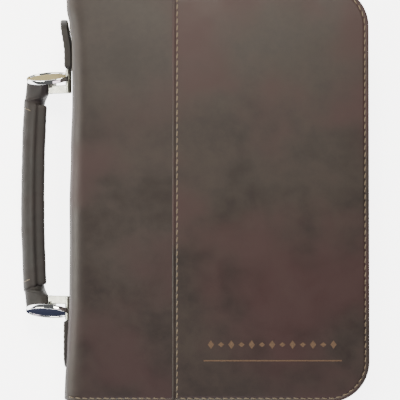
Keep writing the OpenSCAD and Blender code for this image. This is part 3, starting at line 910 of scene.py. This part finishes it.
def tab(side):
    """One tab, drawn flat as (y, z) and stood up on the spine, with its row of stitches."""
    word = WORD[side]
    low = (TAB_LOW.y, TAB_LOW.z) if side > 0 else (-TAB_HIGH.y, TAB_LOW.z)
    high = (TAB_HIGH.y, TAB_HIGH.z) if side > 0 else (-TAB_LOW.y, TAB_HIGH.z)
    r = (TAB_HIGH.z - TAB_LOW.z) / 2 - 0.01
    radii = (0.8, r, r, 0.8) if side > 0 else (r, 0.8, 0.8, r)
    made = pad(word + "_spine_tab", low, high, radii, TAB_HIGH.x, TAB_LOW.x, HANDLE_LEATHER, edge=1.2,
               groove=0.3, swell=0.3, uneven=0.15, seed=4.4 + side, place=ON_SPINE)
    fit(made, "spine", "handle_leather", word + "_tab")
    loop = [Vector((TAB_LOW.x + 0.35, y, z)) for y, z in outline(low, high, radii, STITCH_IN, 1.5)]
    thread = stitch_row(word + "_tab_stitches", loop + loop[:1], facing((-1, 0, 0)), pitch=3.6, length=2.6)
    fit(thread, "spine", "handle_leather")
    if side > 0:
        # Its outer end has lifted off the spine with use.
        for bent in (made, thread):
            for vertex in bent.data.vertices:
                free = ease((vertex.co.y / MM - TAB_LOW.y - 8) / 24)
                vertex.co.x -= 3.2 * MM * free
                vertex.co.y += 1.4 * MM * free


tab(1)
tab(-1)
print("tab", [round(c, 1) for c in TAB_HIGH - TAB_LOW])

# %% [markdown]
# ## The handle's place
# The handle turns on the two pins, and its own weight lets it hang until the grip lies on the
# table. So it is drawn in line with the pins' plane, and one matrix lets it down by that angle.

# %% The handle's matrix
PIN_LOW, PIN_HIGH = mm_box("upper_hinge_pin")
PIN_X = (PIN_LOW.x + PIN_HIGH.x) / 2
CAP_L, CAP_W, CAP_T, CAP_RIM = 28.8, 17.0, 2.2, 0.6
CAP_TILT = math.radians(25)
CAP_MID_X = 0.7 - CAP_L / 2
GRIP_R = 6.9
GRIP_OUT, GRIP_DROP, GRIP_BOW, NECK = 27.0, 8.0, 2.0, 12.4
REST = math.asin((MID_Z - GRIP_R - 0.4) / math.hypot(GRIP_OUT + GRIP_BOW / 2, GRIP_DROP))
REST -= math.atan2(GRIP_DROP, GRIP_OUT + GRIP_BOW / 2)
HUNG = Matrix.Translation((PIN_X, 0, MID_Z)) @ Matrix.Rotation(-REST, 4, "Y")
CAP_REACH = CAP_W / 2 * math.sin(CAP_TILT) + (CAP_T + CAP_RIM) * math.cos(CAP_TILT)
CAP_FACE_Y = TAB_LOW.y - CAP_REACH - 0.4
HALF_GRIP = CAP_FACE_Y - NECK
BOW_R = (HALF_GRIP ** 2 + GRIP_BOW ** 2) / (2 * GRIP_BOW)
BOW_A = math.asin(HALF_GRIP / BOW_R)
BOW_X = BOW_R - GRIP_OUT - GRIP_BOW
MIRROR_Y = Matrix.Diagonal((1, -1, 1, 1))


def at_end(side, x=0.0):
    """The frame on the inner face of a cap, with +Y out of the cap. side is 1 for the upper end."""
    local = HUNG @ Matrix.Translation((x, CAP_FACE_Y, 0)) @ Matrix.Rotation(CAP_TILT, 4, "X")
    return local if side > 0 else MIRROR_Y @ local


print("handle hangs at", round(math.degrees(REST), 1), "degrees")
print("grip", round(2 * HALF_GRIP, 1), "mm long")

# %% [markdown]
# ## Cast and plated metal
# The fittings, slider and stops are zinc castings. A casting has no sharp edges: the mould is
# drafted, and tumbling and plating round it further. Remeshing the CAD shape in small voxels and
# relaxing it gives the same look everywhere at once, which single bevels would not.

# %% Castings
def applied(made, sharp):
    """Turns the piece's modifiers into plain mesh."""
    bpy.context.view_layer.update()
    graph = bpy.context.evaluated_depsgraph_get()
    final = bpy.data.meshes.new_from_object(made.evaluated_get(graph))
    made.modifiers.clear()
    made.data = final
    final.name = made.name
    tidy_mesh(final, sharp)
    return final


def casting(name, node, voxel, rounds, paint, body, slot_name, keep=0.35):
    """A softened copy of a CAD node. voxel is in mm, and keep is the share of faces kept."""
    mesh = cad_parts[node].data.copy()
    made = bpy.data.objects.new(name, mesh)
    bpy.context.scene.collection.objects.link(made)
    remesh = made.modifiers.new("voxels", "REMESH")
    remesh.mode = "VOXEL"
    remesh.voxel_size = voxel * MM
    relax = made.modifiers.new("relax", "SMOOTH")
    relax.iterations = rounds
    relax.factor = 0.5
    thin = made.modifiers.new("thin", "DECIMATE")
    thin.ratio = keep
    final = applied(made, 50)
    final.materials.clear()
    final.materials.append(paint)
    return fit(made, body, slot_name, node)


for word in ("upper", "lower"):
    casting(word + "_arm_casting", word + "_fitting", 0.16, 8, CAST_CHROME, "handle", "fitting_chrome", 0.6)
casting("zip_slider", "slider_body", 0.14, 4, NICKEL, "slider", "zip_metal")
casting("slider_bridge", "slider_bail", 0.1, 4, NICKEL, "slider", "zip_metal")
casting("zip_puller", "zip_pull", 0.12, 4, NICKEL, "pull", "zip_metal")
casting("chain_end_stops", "zip_stops", 0.12, 4, NICKEL, "back", "zip_metal", 0.6)
casting("domed_rivets", "strap_rivets", 0.15, 6, CAST_CHROME, "handle", "fitting_chrome")
print("castings made")


# %% Oval caps
def cap(side):
    """A mirror-bright oval cap, faintly domed inside its raised rim, with room for the eye behind."""
    word = WORD[side]
    a, b, top = CAP_L / 2, CAP_W / 2, CAP_T + CAP_RIM

    def ring(inset, height, share=1.0):
        loop = []
        for k in range(72):
            t = 2 * math.pi * k / 72
            n = Vector((math.cos(t) / a, math.sin(t) / b)).normalized()
            x, z = a * math.cos(t) - n.x * inset, b * math.sin(t) - n.y * inset
            loop.append((CAP_MID_X + x * share, height, z * share))
        return loop

    profile = [(1.2, 0.0), (0.35, 0.0), (0.1, 0.1), (0, 0.35), (0, top - 0.6), (0.1, top - 0.28),
               (0.35, top - 0.06), (0.7, top), (1.05, top - 0.06), (1.3, top - 0.25), (1.4, top - 0.55),
               (1.5, CAP_T - 0.02)]
    loops = [ring(inset, h) for inset, h in profile]
    for k in range(1, 12):
        share = 1 - k / 12
        loops.append(ring(1.5, CAP_T + 0.45 * (1 - share ** 2), share))
    made = loft(word + "_oval_cap", loops, MIRROR_CHROME, sharp=35, place=at_end(side))
    turns = [2 * math.pi * k / 48 for k in range(48)]
    rod = [[(2.0 * math.cos(a), y, 2.0 * math.sin(a)) for a in turns]
           for y in ((55, 95) if side > 0 else (-95, -55))]
    tool = loft("room_for_the_eye", rod, MIRROR_CHROME, place=HUNG)
    cut = made.modifiers.new("room", "BOOLEAN")
    cut.operation = "DIFFERENCE"
    cut.object = tool
    applied(made, 35)
    bpy.data.objects.remove(tool)
    return fit(made, "handle", "cap_mirror", word + "_cap")


cap(1)
cap(-1)
print("caps", CAP_L, "x", CAP_W, "mm, tilted", round(math.degrees(CAP_TILT)), "degrees")

# %% [markdown]
# ## The strap and its ends
# One strap runs through the grip. At each end it is folded round a filler and clamped behind the
# cap, so it is thick and flat-sided there, and it is pinched to a round neck where it enters the
# grip. Folding leaves a crease slantwise over the neck, which catches the light.

# %% Strap
def oval_ring(width, thick, frame_at, crease=None):
    """A loop with flat sides and round ends. crease is the angle of a raised fold line."""
    loop = []
    count = 48
    for k in range(count):
        a = 2 * math.pi * k / count
        flat = (width - thick) / 2
        u = math.copysign(flat * abs(math.cos(a)) ** 0.25, math.cos(a)) + thick / 2 * math.cos(a)
        v = thick / 2 * math.sin(a)
        if crease is not None:
            lift = 0.55 * math.exp(-((a - crease) / 0.16) ** 2)
            u += lift * math.cos(a)
            v += lift * math.sin(a)
        loop.append(frame_at @ Vector((u, 0, v)))
    return loop


def bow(a):
    """The frame on the grip's bowed centre line, at an angle from its middle."""
    middle = Vector((BOW_X - BOW_R * math.cos(a), BOW_R * math.sin(a), -GRIP_DROP))
    return HUNG @ Matrix.Translation(middle) @ Matrix.Rotation(-a, 4, "Z")


def strap_end(side):
    """Loops of one strap end, from the cap to inside the grip."""
    seat_x = -CAP_L + 8.0
    loops = []
    # The seat behind the cap: (distance from it, how much the leather bulges there).
    seat = [(-0.05, -0.8), (-0.5, 0), (-2.5, 0.1), (-4.5, 0.15), (-6.5, 0.1), (-8.4, 0)]
    for k, (y, bulge) in enumerate(seat):
        here = at_end(1, seat_x + 0.26 * y) @ Matrix.Translation((0, y, 0))
        loops.append(oval_ring(15.4 + bulge - 0.1 * y, 6.2 + bulge - 0.12 * y, here, 1.15 + 0.06 * k))
    # The neck turns from the cap's direction into the grip's, and from flat to round.
    start = (HUNG.inverted() @ here).translation
    goal = (HUNG.inverted() @ bow(BOW_A)).translation
    for k in range(1, 11):
        t = k / 10
        s = ease(t)
        here = HUNG @ Matrix.Translation(start.lerp(goal, t)) @ Matrix.Rotation(CAP_TILT * (1 - s), 4, "X")
        loops.append(oval_ring(16.2 - 2.8 * s, 7.2 + 5.6 * s, here, 1.5 + 0.9 * t))
    # Inside the sleeve.
    for width, thick, share in ((12.7, 12.4, 0.97), (12.4, 12.0, 0.935), (10.0, 10.0, 0.93)):
        loops.append(oval_ring(width, thick, bow(BOW_A * share), 2.4))
    if side > 0:
        return loops
    return [[Vector((p.x, -p.y, p.z)) for p in loop] for loop in reversed(loops)]


strap_loops = strap_end(1)
strap_loops += [oval_ring(8, 2.6, bow(BOW_A * (0.925 - 1.85 * k / 30))) for k in range(31)]
strap_loops += strap_end(-1)
fit(loft("folded_strap", strap_loops, HANDLE_LEATHER, sharp=50), "handle", "handle_leather", "handle_strap")
print("strap loops", len(strap_loops))

# %% [markdown]
# ## The padded grip
# Leather is wrapped round a felt core and its two edges are glued into a fin that runs the length
# of the grip, with a thin step beside it. Near each end a row of stitches crosses the sleeve. Hands
# press the sleeve into shallow folds. So one formula gives the radius all over it: a round, folds,
# dents, the step and the fin.

# %% Grip
FLAP_AT = math.radians(60)
FIN_AT = 0.25
ROW_AT = 0.90  # where the cross stitches sit, as a share of half the grip
SLANT = 0.042  # the sleeve's ends are cut a little aslant


def hump(at, middle, wide):
    """A smooth bump, 1 high in its middle."""
    return math.exp(-((at - middle) / wide) ** 2)


def grip_radius(t, angle):
    """Radius of the sleeve. t runs from -1 to 1 along it, and angle is 0 towards the spine."""
    across, up = math.cos(angle), math.sin(angle)
    folds = 0.16 * noise.noise(Vector((t * 16, across * 1.2, up * 1.2 + 3)))
    dents = 0.25 * noise.noise(Vector((t * 4, across * 0.8 + 7, up * 0.8)))
    turn = (angle - FLAP_AT + math.pi) % (2 * math.pi) - math.pi
    lip = 0.4 * hump(turn, 0.02, 0.18) + 0.35 * hump(turn, -0.62, 0.2)
    sunk = 0.08 * hump(turn, -0.3, 0.14) + 0.2 * hump(turn, 0.42, 0.25)
    pull = 0.22 * hump(abs(t), ROW_AT, 0.012) * (0.5 - 0.5 * across)
    fin = 2.8 * hump((angle - FIN_AT + math.pi) % (2 * math.pi) - math.pi, 0, 0.34)
    return GRIP_R + folds + dents + lip - sunk + fin - pull


def grip_loops(inner, rows):
    """Loops of the sleeve: over the outside from end to end, and back through the inside."""
    outside, inside = [], []
    count = 96
    marks = [-1 + 2 * k / rows for k in range(rows + 1)]
    edge_rounds = {0: 0.75, 1: 0.15}
    for i, t in enumerate(marks):
        cut = edge_rounds.get(min(i, rows - i), 0.0)
        outer_loop, inner_loop = [], []
        for k in range(count):
            angle = 2 * math.pi * k / count
            frame_at = bow(BOW_A * t * (1 - SLANT * math.cos(angle)))
            way = Vector((math.cos(angle), 0, math.sin(angle)))
            outer_loop.append(frame_at @ (way * (grip_radius(t, angle) - cut)))
            inner_loop.append(frame_at @ (way * inner))
        outside.append(outer_loop)
        inside.append(inner_loop)
    return outside + inside[::-1]


grip = loft("padded_grip", grip_loops(5.5, 120), HANDLE_LEATHER, looped=True, sharp=60)
fit(grip, "handle", "handle_leather", "grip_sleeve")

# The core is a tube: out along its skin, and back along the slot for the strap.
core_loops = []
for width, thick, order in ((10.9, 10.9, 1), (8.1, 2.7, -1)):
    for k in range(41):
        core_loops.append(oval_ring(width, thick, bow(BOW_A * (-0.985 + 1.97 * k / 40) * order)))
core = loft("felt_core", core_loops, FELT, looped=True)
fit(core, "handle", "padding", "grip_padding")
print("grip points", len(grip.data.vertices), "core points", len(core.data.vertices))


# %% Stitches across the grip
def on_grip(t, angle, lift=0.0):
    """A point on the grip's sleeve."""
    r = grip_radius(t, angle) + lift
    way = Vector((math.cos(angle), 0, math.sin(angle)))
    return bow(BOW_A * t * (1 - SLANT * math.cos(angle))) @ (way * r)


def off_grip(point):
    """The outward direction at a point on the grip."""
    local = HUNG.inverted() @ point
    centre = Vector((BOW_X - math.sqrt(BOW_R ** 2 - local.y ** 2), local.y, -GRIP_DROP))
    return ((HUNG @ local) - (HUNG @ centre)).normalized()


for side in (1, -1):
    arc = [on_grip(side * ROW_AT, math.radians(84 + 5 * k), 0.12) for k in range(32)]
    row = stitch_row(WORD[side] + "_grip_stitches", arc, off_grip, pitch=2.7, length=2.4, wide=0.6,
                     high=0.3)
    fit(row, "handle", "handle_leather")
print("handle's rows of stitches made")

# %% [markdown]
# ## Linings and inner pockets
# Inside, each board is faced with woven lining. Over the fore-edge half lies a leather pocket,
# sewn on three sides, that takes one cover of the Bible. All are flat sheets, so the same pad makes
# them, only thinner, and the pocket's sewn edge is swept round the same line as the zip.

# %% Linings and pockets
for body, sign in (("back", 1), ("front", -1)):
    low, high = mm_box(body + "_lining")
    r = CORNER_R - (FORE_X - high.x)
    inner, outer = (low.z, high.z) if sign > 0 else (high.z, low.z)
    sheet = pad(body + "_woven_lining", low, high, (0.3, r, r, 0.3), inner, outer, LINING, edge=0.3,
                groove=0.0, swell=0.0, uneven=0.05)
    fit(sheet, body, "lining", body + "_lining")
    low, high = mm_box(body + "_sleeve")
    r = CORNER_R - (FORE_X - high.x)
    face = high.z if sign > 0 else low.z
    root = low.z if sign > 0 else high.z
    pocket = pad(body + "_pocket", low, high, (0.5, r, r, 0.5), face - 0.8 * sign, face, SLEEVE_LEATHER,
                 edge=0.35, groove=0.1, swell=0.1, uneven=0.12, seed=6.0)
    fit(pocket, body, "sleeve", body + "_sleeve")
    d = FORE_X - high.x
    section = [(d, root), (d + 0.5, root), (d + 0.5, face - 0.5 * sign), (d, face - 0.5 * sign)]
    fit(edge_sweep(body + "_pocket_edge", section, low.x, SLEEVE_LEATHER), body, "sleeve")
    path = [Vector((x - nx * (d + 1.6), y - ny * (d + 1.6), face - 0.12 * sign))
            for x, y, nx, ny in edge_run(low.x + 1)]
    row = stitch_row(body + "_pocket_stitches", path, facing((0, 0, sign)), wide=0.5, high=0.2,
                     pitch=3.6, length=2.6)
    fit(row, body, "sleeve")
    print(body, "pocket", [round(c, 1) for c in high - low], "mm")

# %% The spine's inside, with a leather binding over each end of its board
low, high = mm_box("spine_wrap")
right = mm_box("spine_lining")[1].x
UPRIGHT = Matrix(((1, 0, 0, 0), (0, 0, 1, 0), (0, 1, 0, 0), (0, 0, 0, 1)))
for side in (1, -1):
    y = side * (high.y - 0.35)
    band = pad(WORD[side] + "_spine_end_binding", (low.x + 0.3, low.z), (right, high.z), (0.8,) * 4,
               y - side * 0.2, y + side * 0.45, WRAP_LEATHER, edge=0.5, groove=0.0, swell=0.05,
               uneven=0.05, place=UPRIGHT)
    fit(band, "spine", "wrap_leather")

low, high = mm_box("spine_lining")
lined = pad("spine_woven_lining", (low.y, low.z), (high.y, high.z), (0.3,) * 4, low.x, high.x, LINING,
            edge=0.3, groove=0.0, swell=0.0, uneven=0.05, place=ON_SPINE)
fit(lined, "spine", "lining", "spine_lining")
print("spine lining", round(high.y - low.y, 1), "mm long")

# %% [markdown]
# ## The Bible
# Its covers are bonded leather over thin board, with a spine strip between them. The block is
# thousands of thin leaves, so its cut edges show fine lines, and its fore-edge is slightly hollow,
# as on every book with a rounded back. Headbands close the ends of the back.

# %% Covers and spine
for body in ("back", "front"):
    node = "bible_" + body + "_cover"
    low, high = mm_box(node)
    r = CORNER_R - (FORE_X - high.x)
    inner, outer = (high.z, low.z) if body == "back" else (low.z, high.z)
    made = pad("bible_" + body + "_board", low, high, (0.8, r, r, 0.8), inner, outer, BIBLE_LEATHER,
               edge=0.8, groove=0.25, swell=0.05, uneven=0.1, seed=2.2, groove_in=3.0)
    fit(made, body, "bible_leather", node)

low, high = mm_box("bible_spine")
made = pad("bible_spine_strip", (low.y, low.z), (high.y, high.z), (0.8,) * 4, high.x, low.x, BIBLE_LEATHER,
           edge=0.9, groove=0.0, swell=0.1, uneven=0.1, place=ON_SPINE)
fit(made, "spine", "bible_leather", "bible_spine")
print("Bible's spine", round(high.z - low.z, 1), "mm thick,", round(high.y - low.y, 1), "mm tall")

# %% Pages
low, high = mm_box("text_block")
r = CORNER_R - (FORE_X - high.x)
tall = high.z - low.z
loops = []
levels = [0, 0.15, 0.5] + [1 + (tall - 2) * k / 24 for k in range(25)] + [tall - 0.5, tall - 0.15, tall]
for up in levels:
    t = up / tall * 2 - 1
    hollow = 1.1 * (1 - t * t)
    trim = max(0.0, 0.4 - min(up, tall - up)) * 0.9
    loop = []
    for x, y in outline(low, high, (1.2, r, r, 1.2), trim):
        share = ease((x - low.x - 30) / (high.x - low.x - 30))
        ruffle = 0.06 * noise.noise(Vector((x / 9, y / 9, up * 1.3)))
        loop.append((x - hollow * share - ruffle, y * (1 - 0.0006 * abs(ruffle)), low.z + up))
    loops.append(loop)
block = loft("page_block", loops, PAGE_EDGES, sharp=45)
block.data.materials.append(PAPER)
for face in block.data.polygons:
    if abs(face.normal.z) > 0.9:
        face.material_index = 1
fit(block, "back", "pages", "text_block")
print("page block", [round(c, 1) for c in high - low], "mm")

# %% Headbands: silk wound over a cord, so each one beats in and out along its length
low, high = mm_box("headbands")
ring = [2 * math.pi * i / 12 for i in range(12)]
for side in (1, -1):
    y = side * (high.y - 0.6)
    loops = []
    for k in range(33):
        z = low.z + (high.z - low.z) * k / 32
        beat = 0.06 * math.cos(k * math.pi)
        loops.append([(low.x + 1 + (0.9 + beat) * math.cos(a), y + (0.5 + beat) * math.sin(a), z)
                      for a in ring])
    band = loft(WORD[side] + "_headband", loops, HEADBAND)
    fit(band, "back", "headband", *(("headbands",) if side > 0 else ()))
print("headbands made, each", round(high.z - low.z, 1), "mm long")

# %% Ribbon: it lies on the top page and hangs over the lower edge
low, high = mm_box("ribbon_marker")
half = Vector(((high.x - low.x) / 2 - 0.3, 0, 0))
line = [(high.y - 0.5 - 4.0 * k, high.z - 0.12) for k in range(int((high.y - low.y) / 4))]
line += [(low.y + 0.9, high.z - 0.12), (low.y + 0.35, high.z - 0.3), (low.y + 0.12, high.z - 0.8)]
line += [(low.y + 0.1, high.z - 0.8 - (high.z - low.z - 0.9) * k / 8) for k in range(1, 9)]
loops = []
for i, (y, z) in enumerate(line):
    back, ahead = line[max(i - 1, 0)], line[min(i + 1, len(line) - 1)]
    along = Vector((0, ahead[0] - back[0], ahead[1] - back[1])).normalized()
    out = Vector((0, along.z, -along.y)) * 0.07
    centre = Vector(((high.x + low.x) / 2 + 0.25 * math.sin(i * 0.7), y, z))
    loops.append([centre - half - out, centre + half - out, centre + half + out, centre - half + out])
fit(loft("satin_marker", loops, RIBBON, sharp=60), "back", "ribbon", "ribbon_marker")
print("ribbon", round(2 * half.x, 1), "mm wide")

# %% [markdown]
# ## Boards and pins
# The boards are plain dense pulp board, cut square, and the pins are drawn wire, cut to length.
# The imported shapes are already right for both, so they only take their materials.

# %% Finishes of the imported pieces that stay
for node in ("back_board", "front_board", "spine_board", "upper_hinge_pin", "lower_hinge_pin"):
    paint, slot_name = (BOARD, "board") if node.endswith("board") else (DRAWN_STEEL, "pin_steel")
    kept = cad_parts[node]
    kept.data.materials.clear()
    kept.data.materials.append(paint)
shown = [o for o in bpy.context.scene.objects if o.type == "MESH" and not o.hide_render]
print("shown pieces:", len(shown))

# %% [markdown]
# ## Table, lamps and cards
# The table is a plain white light-board, which leaves hardly a shadow. A softbox high over the
# upper end gives leather its grey sheen there, one at the spine's side lights the roll, and a large
# one fills from the lower end. Polished caps show whatever stands near them. So two small cards,
# seen only in reflections, lie beside them: a warm one at the upper end and a dark blue one at the
# lower end.

# %% Table and lamps
def slab(name, width, depth, paint):
    """A flat board 4 mm thick, with its upper face at its own zero."""
    x, y = width / 2, depth / 2
    loops = [[(-x, -y, z), (x, -y, z), (x, y, z), (-x, y, z)] for z in (-4, 0)]
    return loft(name, loops, paint)


def plain(name, code, glow):
    """A plain matt board, which also gives off some light of its own colour."""
    return material(name, Base_Color=srgb(code), Roughness=0.9, Emission_Color=srgb(code),
                    Emission_Strength=glow)[0]


def lamp(name, place, size, power, tint):
    """A square soft lamp, aimed at the case. size is in metres and power in watts."""
    made = bpy.data.lights.new(name, "AREA")
    made.size = size
    made.energy = power
    made.color = srgb(tint)[:3]
    thing = bpy.data.objects.new(name, made)
    aim(thing, Vector(place), (0, 0, 0))
    return thing


table_top = slab("table", 40000, 40000, plain("white_board", "f4f4f4", 5.5))
table_top.location = Vector((0, 0, -0.0004))
# The light
lamp("upper_softbox", (0.0, 0.46, 0.68), 0.3, 7.9, "fffaea")
lamp("side_softbox", (-0.75, 0.0, 0.50), 0.4, 8.5, "fffcf0")
lamp("lower_softbox", (0.1, -0.9, 1.0), 0.8, 8.0, "ffe8f2")
for side, word, code, glow in ((1, "warm", "a2956f", 0.5), (-1, "blue", "20263f", 0.4)):
    mirrored = slab(word + "_mirror_card", 54, 60, plain(word + "_card", code, glow))
    mirrored.location = Vector((-0.119, side * 0.101, 0.005))
    mirrored.visible_camera = False
    mirrored.visible_diffuse = False
    mirrored.visible_shadow = False
sky = bpy.data.worlds.new("studio")
bpy.context.scene.world = sky
sky.use_nodes = True
sky.node_tree.nodes["Background"].inputs["Color"].default_value = srgb("f4f4f2")
sky.node_tree.nodes["Background"].inputs["Strength"].default_value = 0.18
